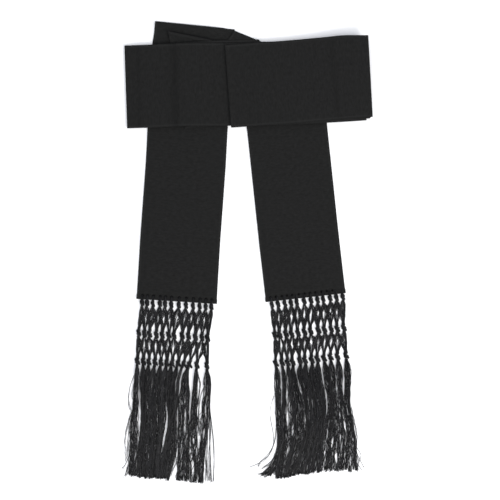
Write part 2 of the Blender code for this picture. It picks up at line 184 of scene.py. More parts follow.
def make_black_cloth():
    material, shader = start_material("black_cloth_weave", 0.86, 0.06)
    shader.inputs["Sheen Weight"].default_value = 0.022
    shader.inputs["Sheen Roughness"].default_value = 0.5
    uv = add_node(material, "ShaderNodeUVMap", uv_map="UVMap")
    ribs = add_node(material, "ShaderNodeTexWave", RIB_WAVE, bands_direction="Y")
    warp = add_node(material, "ShaderNodeTexWave", WARP_WAVE, bands_direction="X")
    slub_place = add_node(material, "ShaderNodeMapping", {"Scale": (150.0, 420.0, 1.0)})
    slubs = add_node(material, "ShaderNodeTexNoise", {"Scale": 1.0, "Detail": 3.0})
    mottle_look = {"Scale": 150.0, "Detail": 4.0, "Roughness": 0.7}
    mottle = add_node(material, "ShaderNodeTexNoise", mottle_look)
    fibres = add_node(material, "ShaderNodeTexNoise", {"Scale": 2600.0, "Detail": 2.0})
    weave = add_node(material, "ShaderNodeMath", {1: 0.35}, operation="MULTIPLY_ADD")
    fuzz = add_node(material, "ShaderNodeMath", {1: 0.5}, operation="MULTIPLY_ADD")
    bump = add_node(material, "ShaderNodeBump", {"Strength": 0.55, "Distance": 0.00025})
    for node in (ribs, warp, slub_place, mottle, fibres):
        join_nodes(material, (uv, "UV", node, "Vector"))
    join_nodes(
        material,
        (slub_place, "Vector", slubs, "Vector"),
        (warp, "Fac", weave, 0),
        (ribs, "Fac", weave, 2),
        (fibres, "Fac", fuzz, 0),
        (weave, "Value", fuzz, 2),
        (fuzz, "Value", bump, "Height"),
        (bump, "Normal", shader, "Normal"),
    )

    tone = add_node(material, "ShaderNodeMath", operation="ADD")
    spread = add_node(material, "ShaderNodeMapRange", {"From Min": 0.60, "From Max": 1.40})
    # Painted highlight: a lighter band just inside every pressed edge, added to the dye's tone.
    edge_highlight = add_node(material, "ShaderNodeAttribute", attribute_name="edge_highlight")
    # Painted shade: darkens the holes of the hem and the creases of the band toward near black.
    painted_shade = add_node(material, "ShaderNodeAttribute", attribute_name="painted_shade")
    tone_and_highlight = add_node(material, "ShaderNodeMath", {1: 0.8}, operation="MULTIPLY_ADD")
    tone_and_highlight.use_clamp = True
    cloth_tones = {MIX_FIRST: BLACK_CLOTH, MIX_SECOND: LIGHT_TONE_AND_HIGHLIGHT}
    colour = add_node(material, "ShaderNodeMix", cloth_tones, data_type="RGBA")
    painted_shade_mix = add_node(material, "ShaderNodeMix", {MIX_SECOND: HOLE_SHADE_BLACK}, data_type="RGBA")
    join_nodes(
        material,
        (slubs, "Fac", tone, 0),
        (mottle, "Fac", tone, 1),
        (tone, "Value", spread, "Value"),
        (edge_highlight, "Fac", tone_and_highlight, 0),
        (spread, "Result", tone_and_highlight, 2),
        (tone_and_highlight, "Value", colour, "Factor"),
        (colour, MIX_RESULT, painted_shade_mix, MIX_FIRST),
        (painted_shade, "Fac", painted_shade_mix, "Factor"),
        (painted_shade_mix, MIX_RESULT, shader, "Base Color"),
    )
    return material


black_cloth = make_black_cloth()
print("rib width in metres:", RIB)

# %% [markdown]
# ## Laying a strip of cloth
#
# Every cloth part of this garment is one long strip that lies flat, turns over at a fold and
# lies flat again. Such a strip is described by cross lines: where its two edges are, and how
# high it lies there. A grid primitive gets one row of points for each cross line, and each
# point is put at its place. The grid's UV map is then the cloth as it was before folding.
# Solidify gives the cloth its thickness, and Bevel rounds its edges, as they are when cloth
# was turned in and pressed. Lengths from here on are in millimetres.

# %% Cross lines
CLOTH = 1.5
LAYER_CLOTH = 1.6


def between(first, second, share):
    return tuple(one + (two - one) * share for one, two in zip(first, second))


def cross_line(first, second, z):
    """One cross line of a strip: its two edge points and its height."""
    return {"first": first, "second": second, "z": z}


def fold_lines(first, second, out, z_from, z_to, steps=12):
    """Cross lines round a fold whose far side is at first and second, along out."""
    radius = abs(z_from - z_to) / 2
    side = math.copysign(1.0, z_from - z_to)
    rows = []
    for step in range(steps + 1):
        angle = math.pi * step / steps
        shift = radius * math.sin(angle) - radius - LAYER_CLOTH / 2
        a, b = [(p[0] + out[0] * shift, p[1] + out[1] * shift) for p in (first, second)]
        rows.append(cross_line(a, b, (z_from + z_to) / 2 + side * radius * math.cos(angle)))
    return rows


def filled_in(rows, step):
    """The same strip with more cross lines, so that no two are further apart than step."""
    full = [rows[0]]
    for above, below in zip(rows, rows[1:]):
        length = max(math.dist(above[edge], below[edge]) for edge in ("first", "second"))
        count = max(1, math.ceil(length / step))
        for index in range(1, count + 1):
            share = index / count
            first = between(above["first"], below["first"], share)
            second = between(above["second"], below["second"], share)
            z = above["z"] + (below["z"] - above["z"]) * share
            full.append(cross_line(first, second, z))
    return full


print("cross lines are ready")

# %% Lay the cloth
EDGE_PLACES = (0.0, 0.7, 1.5, 2.3, 3.1, 4.2)
EDGE_ROUNDING = 0.4
SHARP_EDGE = math.radians(60)
SMOOTH_BELOW = math.radians(50)
# Painted highlight: where it lies inside each edge, and how far it reaches.
EDGE_HIGHLIGHT_PLACE = 2.3
EDGE_HIGHLIGHT_REACH = 1.2
LOWEST_MIDDLE = CLOTH / 2 + 0.02
WAVE_MIDDLE = 0.30
LONG_WAVE = 0.18
SHORT_WAVE = 0.10


def not_dark(along, across):
    return np.zeros_like(along + across)


def write_numbers(piece, name, values):
    """Give every point of a piece its own number, which a material can read."""
    attribute = piece.data.attributes.new(name, "FLOAT", "POINT")
    attribute.data.foreach_set("value", values.astype(np.float32))


def across_places(width, step):
    """Places across a strip, close together near both edges."""
    inner = np.linspace(EDGE_PLACES[-1], width - EDGE_PLACES[-1], round(width / step))
    left = np.array(EDGE_PLACES[:-1])
    return np.concatenate([left, inner, (width - left)[::-1]])


def soft_waves(x, y):
    """Gentle unevenness of the whole pile of cloth, never below zero."""
    long_wave = np.sin(x / 31 + 0.7 * np.sin(y / 47)) * np.sin(y / 38 + 1.1)
    short_wave = np.sin(x / 17 + y / 23 + 2.0) * np.sin(y / 29 - x / 61)
    return WAVE_MIDDLE + LONG_WAVE * long_wave + SHORT_WAVE * short_wave


def grid_of_points(name, rows, columns):
    """A grid primitive and, for each of its points, the row and column it is in."""
    bpy.ops.object.select_all(action="DESELECT")
    bpy.ops.mesh.primitive_grid_add(x_subdivisions=columns - 1, y_subdivisions=rows - 1, size=1)
    piece = bpy.context.object
    piece.name = name
    piece.data.name = name
    flat = np.empty(len(piece.data.vertices) * 3, np.float32)
    piece.data.vertices.foreach_get("co", flat)
    flat = flat.reshape(-1, 3)
    column = np.rint((flat[:, 0] + 0.5) * (columns - 1)).astype(int)
    row = np.rint((flat[:, 1] + 0.5) * (rows - 1)).astype(int)
    return piece, row, column


def lay_strip(name, lines, step, relief, painted_shade=not_dark):
    """A thick, round-edged strip through the cross lines; relief raises it, and the last function
    says where shade is painted on it.
    """
    width = max(math.dist(line["first"], line["second"]) for line in lines)
    places = across_places(width, step)
    first = np.array([(*line["first"], line["z"]) for line in lines])
    second = np.array([(*line["second"], line["z"]) for line in lines])
    points = first[:, None, :] + (second - first)[:, None, :] * (places / width)[None, :, None]
    steps = np.linalg.norm(np.diff(points, axis=0), axis=2)
    along = np.concatenate([[0.0], np.cumsum(steps.mean(axis=1))])
    points[:, :, 2] += relief(points[:, :, 0], points[:, :, 1], along[:, None], places[None, :])
    points[:, :, 2] = np.maximum(points[:, :, 2], LOWEST_MIDDLE)

    piece, row, column = grid_of_points(name, len(lines), len(places))
    mesh = piece.data
    mesh.vertices.foreach_set("co", (points[row, column] * MM).astype(np.float32).ravel())
    corner = np.empty(len(mesh.loops), np.int32)
    mesh.loops.foreach_get("vertex_index", corner)
    uv = np.stack([places[column[corner]], along[row[corner]]], axis=1) * MM
    mesh.uv_layers[0].name = "UVMap"
    mesh.uv_layers[0].data.foreach_set("uv", uv.astype(np.float32).ravel())
    # Painted highlight along both edges of every strip.
    inside = np.minimum(places, width - places)
    edge_highlight = np.clip(1 - abs(inside - EDGE_HIGHLIGHT_PLACE) / EDGE_HIGHLIGHT_REACH, 0, 1)
    write_numbers(piece, "edge_highlight", edge_highlight[column])
    # Painted shade, where the given function asks for it.
    write_numbers(piece, "painted_shade", painted_shade(along[:, None], places[None, :])[row, column])
    mesh.update()

    thick = piece.modifiers.new("thickness", "SOLIDIFY")
    thick.thickness = CLOTH * MM
    thick.offset = 0.0
    rounded = piece.modifiers.new("rounded edge", "BEVEL")
    rounded.width = EDGE_ROUNDING * MM
    rounded.segments = 2
    rounded.limit_method = "ANGLE"
    rounded.angle_limit = SHARP_EDGE
    for modifier in ("thickness", "rounded edge"):
        bpy.ops.object.modifier_apply(modifier=modifier)
    bpy.ops.object.shade_smooth_by_angle(angle=SMOOTH_BELOW)
    piece.data.materials.clear()
    piece.data.materials.append(black_cloth)
    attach(piece, "root")
    print(name, round(width), "x", round(along[-1]), "mm,", len(piece.data.polygons), "faces")
    return piece


print("cloth helper is ready")

# %% [markdown]
# ## Waist band
#
# The band is one strip, 127 mm wide. It starts at its cut end under the right front, runs to
# the left fold, back along the whole loop, round the right fold, and ends on top at the
# middle. Its lines bend a little, because a long strip never lies quite straight, and its
# right end stands off the table. The cross lines follow three bent centre lines, one for
# each layer, and the layers lie a little more than one cloth thickness apart.

# %% Waist band lines
BAND_WIDTH = 127.0
FALL_Z = 0.8
LAYER = 1.9
TUCK_Z = FALL_Z + LAYER
BACK_Z = TUCK_Z + LAYER
LEFT_FRONT_Z = BACK_Z + LAYER
RIGHT_FRONT_Z = LEFT_FRONT_Z + LAYER
BACK_LINE = (
    (-186.0, 252.3), (-150.0, 253.5), (-116.0, 255.2), (-80.0, 257.8), (-52.0, 259.6),
    (-31.0, 260.3), (1.0, 261.2), (17.0, 261.4), (36.0, 261.2), (60.0, 261.3), (116.0, 262.6),
    (160.0, 265.6), (190.0, 267.8),
)
BACK_TOP_DROP = ((17.5, 0.0), (20.5, 3.3), (36.0, 3.0), (60.0, 2.6), (95.0, 0.0))
LEFT_FRONT_LINE = (
    (-186.0, 252.3), (-150.0, 253.2), (-102.0, 255.4), (-28.0, 256.2), (60.0, 258.0),
    (133.0, 261.4), (180.0, 264.4),
)
RIGHT_FRONT_LINE = (
    (-30.0, 252.9), (20.0, 256.6), (60.0, 259.3), (116.0, 264.0), (160.0, 268.0),
    (190.0, 269.8),
)
LEFT_FOLD_X = -186.2
RIGHT_FOLD_X = 188.6
LEFT_FRONT_END_X = 178.7
RIGHT_FRONT_END_X = -29.2
TOP_SAG = 3.0
TOP_SAG_START_X = 140.0
BAND_STEP = 3.0


def smooth_step(value):
    value = np.clip(value, 0, 1)
    return value * value * (3 - 2 * value)


def curve_between(t, span, start, start_slope, end, end_slope):
    """Value at share t of a span, on a smooth curve with the given ends and slopes."""
    return (
        start * (2 * t**3 - 3 * t**2 + 1)
        + start_slope * span * (t**3 - 2 * t**2 + t)
        + end * (3 * t**2 - 2 * t**3)
        + end_slope * span * (t**3 - t**2)
    )


def line_y(line, x):
    """Height of a smooth curve through a table of (x, y) points, and its slope."""
    last = len(line) - 2
    index = 0
    while index < last and line[index + 1][0] < x:
        index += 1
    (x0, y0), (x1, y1) = line[index], line[index + 1]
    before = line[max(index - 1, 0)]
    after = line[min(index + 2, len(line) - 1)]
    slope0 = (y1 - before[1]) / (x1 - before[0])
    slope1 = (after[1] - y0) / (after[0] - x0)
    span = x1 - x0
    t = (x - x0) / span
    slope = (
        (y1 - y0) * 6 * (t - t**2) / span
        + slope0 * (3 * t**2 - 4 * t + 1)
        + slope1 * (3 * t**2 - 2 * t)
    )
    return curve_between(t, span, y0, slope0, y1, slope1), slope


def band_cross(line, x):
    """Top and bottom points of the band where its centre line passes x."""
    y, slope = line_y(line, x)
    length = math.hypot(1.0, slope)
    across = (-slope / length, 1 / length)
    half = BAND_WIDTH / 2
    return [(x + across[0] * far, y + across[1] * far) for far in (half, -half)]


def band_layer(line, start, end, z):
    count = round(abs(end - start) / BAND_STEP)
    places = [start + (end - start) * index / count for index in range(count + 1)]
    return [cross_line(*band_cross(line, x), z) for x in places]


def band_fold(line, x, way, z_from, z_to):
    slope = line_y(line, x)[1]
    length = math.hypot(1.0, slope)
    return fold_lines(*band_cross(line, x), (way / length, way * slope / length), z_from, z_to)


def dropped_top(line):
    """The same cross line of the back, with its top edge lower where it shows a step."""
    x, y = line["first"]
    place, drop = np.array(BACK_TOP_DROP).T
    return cross_line((x, y - float(np.interp(x, place, drop))), line["second"], line["z"])


def sagging_corner(line):
    """The same cross line, with the band's top edge eased down at its right end."""
    x, y = line["first"]
    sag = TOP_SAG * smooth_step((x - TOP_SAG_START_X) / (RIGHT_FOLD_X - TOP_SAG_START_X))
    return cross_line((x, y - float(sag)), line["second"], line["z"])


left_end = LEFT_FOLD_X + ((LEFT_FRONT_Z - BACK_Z) / 2 + LAYER_CLOTH / 2)
right_end = RIGHT_FOLD_X - ((RIGHT_FRONT_Z - BACK_Z) / 2 + LAYER_CLOTH / 2)
back_lines = band_layer(BACK_LINE, left_end, right_end, BACK_Z)[1:-1]
band_lines = band_layer(LEFT_FRONT_LINE, LEFT_FRONT_END_X, left_end, LEFT_FRONT_Z)[:-1]
band_lines += band_fold(BACK_LINE, LEFT_FOLD_X, -1.0, LEFT_FRONT_Z, BACK_Z)
band_lines += [dropped_top(line) for line in back_lines]
band_lines += band_fold(RIGHT_FRONT_LINE, RIGHT_FOLD_X, 1.0, BACK_Z, RIGHT_FRONT_Z)
band_lines += band_layer(RIGHT_FRONT_LINE, right_end, RIGHT_FRONT_END_X, RIGHT_FRONT_Z)[1:]
band_lines = [sagging_corner(line) for line in band_lines]
print("cross lines of the band:", len(band_lines))

# %% [markdown]
# ## Creases of the band
#
# What lies under a pressed band shows through it: the edge of the flap inside makes a low
# step on the left front, and old creases run across both fronts. They are soft, so they are
# added as heights over the flat layers. The creases are also given painted shade, and a
# second table says where and how strong. Its places run along the strip from its hidden end,
# or back from its visible end where they are negative.

# %% Waist band
LIFT_HEIGHT = 14.0
LIFT_START_X = 40.0
LIFT_LOW_EDGE = 1.1
LEFT_CREASE = ((-107.0, 330.0), (-110.5, 195.0))
LEFT_CREASE_RISE = 1.6
LEFT_CREASE_HALF = 5.0
LEFT_CREASE_END_X = -44.0
RIGHT_CREASE = ((136.0, 330.0), (133.0, 200.0))
RIGHT_CREASE_RISE = 0.35
RIGHT_CREASE_REACH = 3.2
LEFT_FALL_EDGE_X = -160.0
BETWEEN_FALLS_X = (-44.0, 16.0)
SINK_PAST_LEFT = 2.4
SINK_BETWEEN_FALLS = 1.0
FREE_END_RISE = 2.2
FREE_END_REACH = 12.0
# Painted shade along creases: place along the strip, reach on each side, and strength.
CREASE_SHADE = (
    {"place": 287.6, "right": 3.5, "left": 9.0, "painted_shade": 0.20},
    {"place": 344.5, "right": 2.5, "left": 4.0, "painted_shade": 0.12},
    {"place": -164.0, "right": 3.5, "left": 5.0, "painted_shade": 0.14},
)


def beyond(line, x, y):
    """How far right of a line through two points each place is."""
    (x0, y0), (x1, y1) = line
    return x - (x0 + (x1 - x0) * (y - y0) / (y1 - y0))


def band_lift(x, y):
    """How far the band stands up at its right end, most at the top edge."""
    along = np.clip((x - LIFT_START_X) / (RIGHT_FOLD_X - LIFT_START_X), 0, 1.05)
    middle = np.interp(x, *np.array(RIGHT_FRONT_LINE).T)
    across = (y - middle) / (BAND_WIDTH / 2)
    return LIFT_HEIGHT * along**2 * (across + LIFT_LOW_EDGE) / (1 + LIFT_LOW_EDGE)


def band_settle(x):
    """How far the pile sinks where nothing lies under it."""
    past_left = smooth_step((LEFT_FALL_EDGE_X - x) / 22)
    start, end = BETWEEN_FALLS_X
    between_falls = smooth_step((x - start) / 16) * smooth_step((end - x) / 16)
    return -SINK_PAST_LEFT * past_left - SINK_BETWEEN_FALLS * between_falls


def band_relief(x, y, along, across):
    front = along < (LEFT_FRONT_END_X - LEFT_FOLD_X)
    past_crease = (beyond(LEFT_CREASE, x, y) + LEFT_CREASE_HALF) / (2 * LEFT_CREASE_HALF)
    step = smooth_step(past_crease) * smooth_step((LEFT_CREASE_END_X - x) / 40)
    crease = np.exp(-((beyond(RIGHT_CREASE, x, y) / RIGHT_CREASE_REACH) ** 2))
    height = soft_waves(x, y) + band_lift(x, y) + band_settle(x)
    height = height + LEFT_CREASE_RISE * step * (x < 0) + RIGHT_CREASE_RISE * crease * ~front
    from_end = along.max() - along
    return height + FREE_END_RISE * np.clip(1 - from_end / FREE_END_REACH, 0, 1) ** 2


def band_crease_shade(along, across):
    """How much shade is painted on the band along its creases."""
    painted_shade = not_dark(along, across)
    for crease in CREASE_SHADE:
        place = crease["place"] + (along.max() if crease["place"] < 0 else 0)
        reach = np.where(along > place, crease["left"], crease["right"])
        painted_shade = np.maximum(painted_shade, crease["painted_shade"] * np.exp(-(((along - place) / reach) ** 2)))
    return painted_shade


waist_band_cloth = lay_strip("waist_band_cloth", band_lines, 3.0, band_relief, band_crease_shade)
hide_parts("waist_band")

# %% [markdown]
# ## Inner flap
#
# A corner of cloth shows over the band's top edge on the left, between the band and the left
# fall. It is the hidden end of the strip, so only a short flat piece is laid there, under
# the band, with the same edge and weave as the rest. Its free corner curls up a little,
# which draws the dark line round it.

# %% Inner flap
INNER_FLAP = (
    {"top": (-121.0, 337.6), "bottom": (-95.4, 187.3)},
    {"top": (-87.0, 330.7), "bottom": (-74.0, 190.5)},
    {"top": (-53.5, 323.8), "bottom": (-52.0, 193.8)},
)
FLAP_CURL = 3.4
FLAP_CURL_REACH = 8.0


def flap_relief(x, y, along, across):
    top = np.clip(1 - across / FLAP_CURL_REACH, 0, 1) ** 2
    left = np.clip(1 - along / FLAP_CURL_REACH, 0, 1) ** 2 * smooth_step((20 - across) / 12)
    return soft_waves(x, y) + FLAP_CURL * np.maximum(top * smooth_step((66 - along) / 16), left)


flap_lines = filled_in([cross_line(row["top"], row["bottom"], TUCK_Z) for row in INNER_FLAP], 2.0)
inner_flap_cloth = lay_strip("inner_flap_cloth", flap_lines, 2.0, flap_relief)
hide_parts("inner_flap")

# %% [markdown]
# ## The two falls
#
# A fall is a flat panel that comes out from under the band. At its foot the cloth is turned
# in to a thick hem, a little wider than the panel, and the threads of the fringe are drawn
# through small holes in it; each hole is a dimple with shade painted into it. The left fall
# ends at the top in a soft roll beyond the band, and the right one is turned over along a
# slanting fold. Rows of points stand close together at the hem, because its holes are only a
# few millimetres wide, and further apart above it. A fall's table gives the middle of the
# panel and its tilt in degrees.

# %% Fall tables
FALL_WIDTH = 122.8
LEFT_FALL = (
    (-108.3, -76.4, -3.6), (-102.7, 18.0, -3.9), (-94.3, 133.0, -4.0), (-88.0, 252.0, -4.0),
    (-84.2, 314.0, -5.2),
)
LEFT_TOP = (-80.0, 346.8, -5.8)
RIGHT_FALL = (
    (89.7, -70.5, 6.4), (79.5, 18.0, 6.3), (67.2, 133.0, 6.4), (61.2, 189.6, 6.6),
)
TURN_LEFT = (-19.7, 338.9)
TURN_RIGHT = (111.3, 285.6)
TURNED_WAY = (-0.590, -0.807)
TURNED_LENGTH = 26.0
LEFT_HOLES = (-52.7, -45.1, -36.0, -25.4, -17.4, -7.9, 3.8, 14.7, 25.6, 35.8, 45.0, 53.9)
RIGHT_HOLES = (-52.7, -43.4, -32.8, -23.5, -14.4, -2.9, 7.5, 17.5, 26.5, 37.1, 46.7, 56.6)
HEM_DEPTH = 7.0
HEM_STEP = 0.7
HEM_EXTRA = 0.5
HEM_RISE = 0.6
# Each hole is a dimple in the hem, and shade is painted into it.
HOLE_PLACE = 6.2
HOLE_REACH = 2.6
HOLE_DEPTH = 1.6


def tilted(degrees):
    return math.cos(math.radians(degrees)), math.sin(math.radians(degrees))


def fall_cross(row, shift=0.0, extra=0.0):
    """Left and right points of a fall at one row, moved down the cloth by shift."""
    x, y, tilt = row
    along = tilted(tilt)
    x += along[1] * shift
    y -= along[0] * shift
    half = FALL_WIDTH / 2 + extra
    return [(x + along[0] * far, y + along[1] * far) for far in (-half, half)]


def hem_lines(row):
    """Cross lines of the turned-in hem, from its edge up."""
    lines = []
    for up in np.arange(0.0, HEM_DEPTH + 3.5, HEM_STEP):
        extra = HEM_EXTRA * (1 - smooth_step((up - HEM_DEPTH + 1.0) / 2.0))
        lines.append(cross_line(*fall_cross(row, -float(up), float(extra)), FALL_Z))
    return lines


def hem_holes(along, across, holes):
    """One at the middle of each hole of the hem, falling to nothing at its rim."""
    middle = FALL_WIDTH / 2 + HEM_EXTRA
    depth = not_dark(along, across)
    for hole in holes:
        away = np.hypot(across - middle - hole, along - HOLE_PLACE) / HOLE_REACH
        depth = np.maximum(depth, np.clip(1.5 - 1.5 * away**2, 0, 1))
    return depth


def hem_relief(along, across, holes):
    """Thicker hem, with a dimple at every hole."""
    rolled = HEM_RISE * np.sqrt(np.clip(1 - ((along - 3.2) / 3.9) ** 2, 0, 1))
    pulled = 0.12 * np.sin(across * 2.1 + along * 0.9) * (rolled > 0)
    return rolled + pulled - HOLE_DEPTH * hem_holes(along, across, holes)


# Where shade is painted into the holes of each hem.
def left_hole_shade(along, across):
    return hem_holes(along, across, LEFT_HOLES)


def right_hole_shade(along, across):
    return hem_holes(along, across, RIGHT_HOLES)


print("holes in each hem:", len(LEFT_HOLES))

# %% Left fall
RIDGE_RISE = (
    (18.0, 0.0), (16.0, 0.1), (14.0, 0.3), (12.0, 0.7), (10.0, 1.3), (8.0, 2.1), (6.0, 2.9),
    (4.5, 3.4), (3.0, 3.6), (1.9, 3.3), (1.0, 2.5), (0.4, 1.3), (0.0, 0.3),
)
RIDGE_ACROSS = (
    (0.0, 0.6), (0.1, 0.7), (0.25, 0.85), (0.4, 0.95), (0.55, 1.0), (0.7, 1.0), (0.8, 0.9),
    (0.86, 0.45), (0.9, 0.0), (1.0, 0.0),
)

left_lines = hem_lines(LEFT_FALL[0])
left_lines += [cross_line(*fall_cross(row), FALL_Z) for row in LEFT_FALL[1:]]
left_lines += [cross_line(*fall_cross(LEFT_TOP, down), FALL_Z) for down, rise in RIDGE_RISE]
left_lines = filled_in(left_lines, 4.0)


def left_fall_relief(x, y, along, across):
    cx, cy, tilt = LEFT_TOP
    cosine, sine = tilted(tilt)
    from_top = (x - cx) * sine - (y - cy) * cosine
    share = ((x - cx) * cosine + (y - cy) * sine) / FALL_WIDTH + 0.5
    down, rise = np.array(RIDGE_RISE[::-1]).T
    place, strength = np.array(RIDGE_ACROSS).T
    ridge = np.interp(from_top, down, rise) * np.interp(share, place, strength)
    return soft_waves(x, y) + ridge + hem_relief(along, across, LEFT_HOLES)


left_fall_cloth = lay_strip("left_fall_cloth", left_lines, 1.0, left_fall_relief, left_hole_shade)
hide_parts("left_fall")

# %% Right fall
right_lines = hem_lines(RIGHT_FALL[0])
right_lines += [cross_line(*fall_cross(row), FALL_Z) for row in RIGHT_FALL[1:]]
turn_width = math.dist(TURN_LEFT, TURN_RIGHT)
turn_rise = TURN_LEFT[1] - TURN_RIGHT[1]
turn_out = (turn_rise / turn_width, (TURN_RIGHT[0] - TURN_LEFT[0]) / turn_width)
turn_lines = fold_lines(TURN_LEFT, TURN_RIGHT, turn_out, FALL_Z, TUCK_Z)
turned_ends = [
    (point[0] + TURNED_WAY[0] * TURNED_LENGTH, point[1] + TURNED_WAY[1] * TURNED_LENGTH)
    for point in (turn_lines[-1]["first"], turn_lines[-1]["second"])
]
right_lines += turn_lines + [cross_line(*turned_ends, TUCK_Z)]
right_lines = filled_in(right_lines, 4.0)


def right_fall_relief(x, y, along, across):
    return soft_waves(x, y) + hem_relief(along, across, RIGHT_HOLES)


right_fall_cloth = lay_strip("right_fall_cloth", right_lines, 1.0, right_fall_relief, right_hole_shade)
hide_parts("right_fall")

# %% [markdown]
# ## The fringe threads
#
# The fringe is black silk thread. Satin thread is smoother than the cloth, so it shows small
# soft glints along its length, and no two threads are quite as dark. Each thread carries one
# number, called shade, that the material turns into its own tone.

# %% Silk thread
DARK_SILK = (0.0022, 0.0022, 0.0025, 1.0)
LIGHT_SILK = (0.0205, 0.0205, 0.0226, 1.0)


def make_silk():
    material, shader = start_material("black_silk_thread", 0.38, 0.16)
    shade = add_node(material, "ShaderNodeAttribute", attribute_name="shade")
    ramp = add_node(material, "ShaderNodeValToRGB")
    ramp.color_ramp.elements[0].color = DARK_SILK
    ramp.color_ramp.elements[1].color = LIGHT_SILK
    place = add_node(material, "ShaderNodeTexCoord")
    grain = add_node(material, "ShaderNodeTexNoise", {"Scale": 1800.0})
    bump = add_node(material, "ShaderNodeBump", {"Strength": 0.4, "Distance": 0.0002})
    join_nodes(
        material,
        (shade, "Fac", ramp, "Fac"),
        (ramp, "Color", shader, "Base Color"),
        (place, "Object", grain, "Vector"),
        (grain, "Fac", bump, "Height"),
        (bump, "Normal", shader, "Normal"),
    )
    return material


black_silk = make_silk()
print("thread tones:", DARK_SILK[0], "to", LIGHT_SILK[0])

# %% [markdown]
# ## Threads as thin tubes
#
# One thread is a line of points with a thin three-sided tube round it. There are thousands
# of them, so the points are worked out as arrays and each group of threads becomes one mesh.
# A three-sided tube with smooth shading looks round at this size and stays light.

# %% Thread tubes
THREAD_RADIUS = 0.45
TUBE_SIDES = 3


def tube_arrays(paths, radius):
    """Points and faces of tubes round paths, an array of threads by points by xyz."""
    threads, rings, _ = paths.shape
    ahead = np.gradient(paths, axis=1)
    ahead /= np.linalg.norm(ahead, axis=2, keepdims=True) + 1e-9
    side = np.cross(ahead, np.array([0.0, 0.0, 1.0]))
    side /= np.linalg.norm(side, axis=2, keepdims=True) + 1e-9
    upper = np.cross(side, ahead)
    angle = (2 * np.pi * np.arange(TUBE_SIDES) / TUBE_SIDES)[:, None]
    ring = side[:, :, None, :] * np.cos(angle) + upper[:, :, None, :] * np.sin(angle)
    points = (paths[:, :, None, :] + ring * radius).reshape(-1, 3)
    number = np.arange(threads * rings * TUBE_SIDES).reshape(threads, rings, TUBE_SIDES)
    turned = np.roll(number, -1, axis=2)
    walls = np.stack([number[:, :-1], number[:, 1:], turned[:, 1:], turned[:, :-1]], axis=3)
    caps = np.concatenate([number[:, 0, :], number[:, -1, ::-1]])
    return points, walls.reshape(-1, 4), caps


def thread_mesh(name, groups, node):
    """One piece from groups of threads: their paths, their shades and their radius."""
    all_points, all_walls, all_caps, all_shades = [], [], [], []
    offset = 0
    for paths, shades, radius in groups:
        points, walls, caps = tube_arrays(paths, radius)
        all_points.append(points)
        all_walls.append(walls + offset)
        all_caps.append(caps + offset)
        all_shades.append(np.repeat(shades, paths.shape[1] * TUBE_SIDES))
        offset += len(points)
    points, walls, caps = [np.concatenate(rows) for rows in (all_points, all_walls, all_caps)]
    corners = np.concatenate([walls.ravel(), caps.ravel()])
    cap_starts = walls.size + np.arange(len(caps)) * TUBE_SIDES
    starts = np.concatenate([np.arange(len(walls)) * 4, cap_starts])
    mesh = bpy.data.meshes.new(name)
    mesh.vertices.add(len(points))
    mesh.vertices.foreach_set("co", (points * MM).astype(np.float32).ravel())
    mesh.loops.add(len(corners))
    mesh.loops.foreach_set("vertex_index", corners.astype(np.int32))
    mesh.polygons.add(len(starts))
    mesh.polygons.foreach_set("loop_start", starts.astype(np.int32))
    mesh.update(calc_edges=True)
    mesh.validate()
    mesh.shade_smooth()
    mesh.materials.append(black_silk)
    piece = bpy.data.objects.new(name, mesh)
    bpy.context.collection.objects.link(piece)
    write_numbers(piece, "shade", np.concatenate(all_shades))
    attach(piece, "root")
    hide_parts(node)
    print(name, "triangles:", len(walls) * 2 + len(caps))
    return piece


print("sides of a thread tube:", TUBE_SIDES)

# %% [markdown]
# ## Where the bunches run
#
# Twelve bunches of thread hang from each hem. Each bunch is tied three times, and between
# the knots its two halves part and cross over into the neighbours, which closes the net.
# Below the last knots the bunches fall as tassels. The tables give each bunch's place along
# the hem at its three knots, how far it leans sideways below the last one, how far down its
# tips reach, and how many threads its tassel has; the outer tassels are thin, and the floor
# shows through them.

# %% Bunch tables
BUNCH_COLUMNS = ("row_a", "row_b", "row_c", "lean", "length", "threads")
LEFT_BUNCHES = (
    (-52.7, -54.8, -54.2, 0.0, 271.0, 34),
    (-45.1, -46.0, -44.9, 0.0, 272.0, 44),
    (-36.0, -38.1, -36.4, -0.4, 272.0, 46),
    (-25.4, -27.8, -26.9, -0.7, 271.8, 46),
    (-17.4, -18.7, -17.7, -1.0, 271.6, 46),
    (-7.9, -8.7, -8.8, -1.2, 271.8, 46),
    (3.8, -0.5, -0.4, -1.8, 271.4, 44),
    (14.7, 11.9, 9.0, -2.6, 270.2, 42),
    (25.6, 21.6, 17.8, -3.4, 272.8, 44),
    (35.8, 32.3, 26.3, -2.6, 273.6, 48),
    (45.0, 42.3, 37.4, -0.4, 274.0, 34),
    (53.9, 50.9, 52.6, 0.4, 274.0, 34),
)
RIGHT_BUNCHES = (
    (-52.7, -53.2, -56.7, 0.0, 264.5, 30),
    (-43.4, -45.8, -47.0, -0.3, 269.6, 38),
    (-32.8, -36.2, -38.7, 0.2, 270.5, 40),
    (-23.5, -27.7, -31.0, 0.6, 269.8, 42),
    (-14.4, -17.7, -19.7, 0.4, 268.8, 46),
    (-2.9, -7.6, -11.8, 0.6, 268.0, 46),
    (7.5, 1.9, -1.6, 0.4, 267.6, 46),
    (17.5, 13.8, 7.4, 0.2, 267.0, 44),
    (26.5, 23.2, 17.5, 0.2, 266.8, 34),
    (37.1, 33.5, 27.8, 0.0, 267.8, 32),
    (46.7, 42.8, 38.5, 0.2, 269.6, 32),
    (56.6, 53.0, 51.9, -0.6, 272.0, 38),
)
HEMS = {"left": LEFT_FALL[0], "right": RIGHT_FALL[0]}
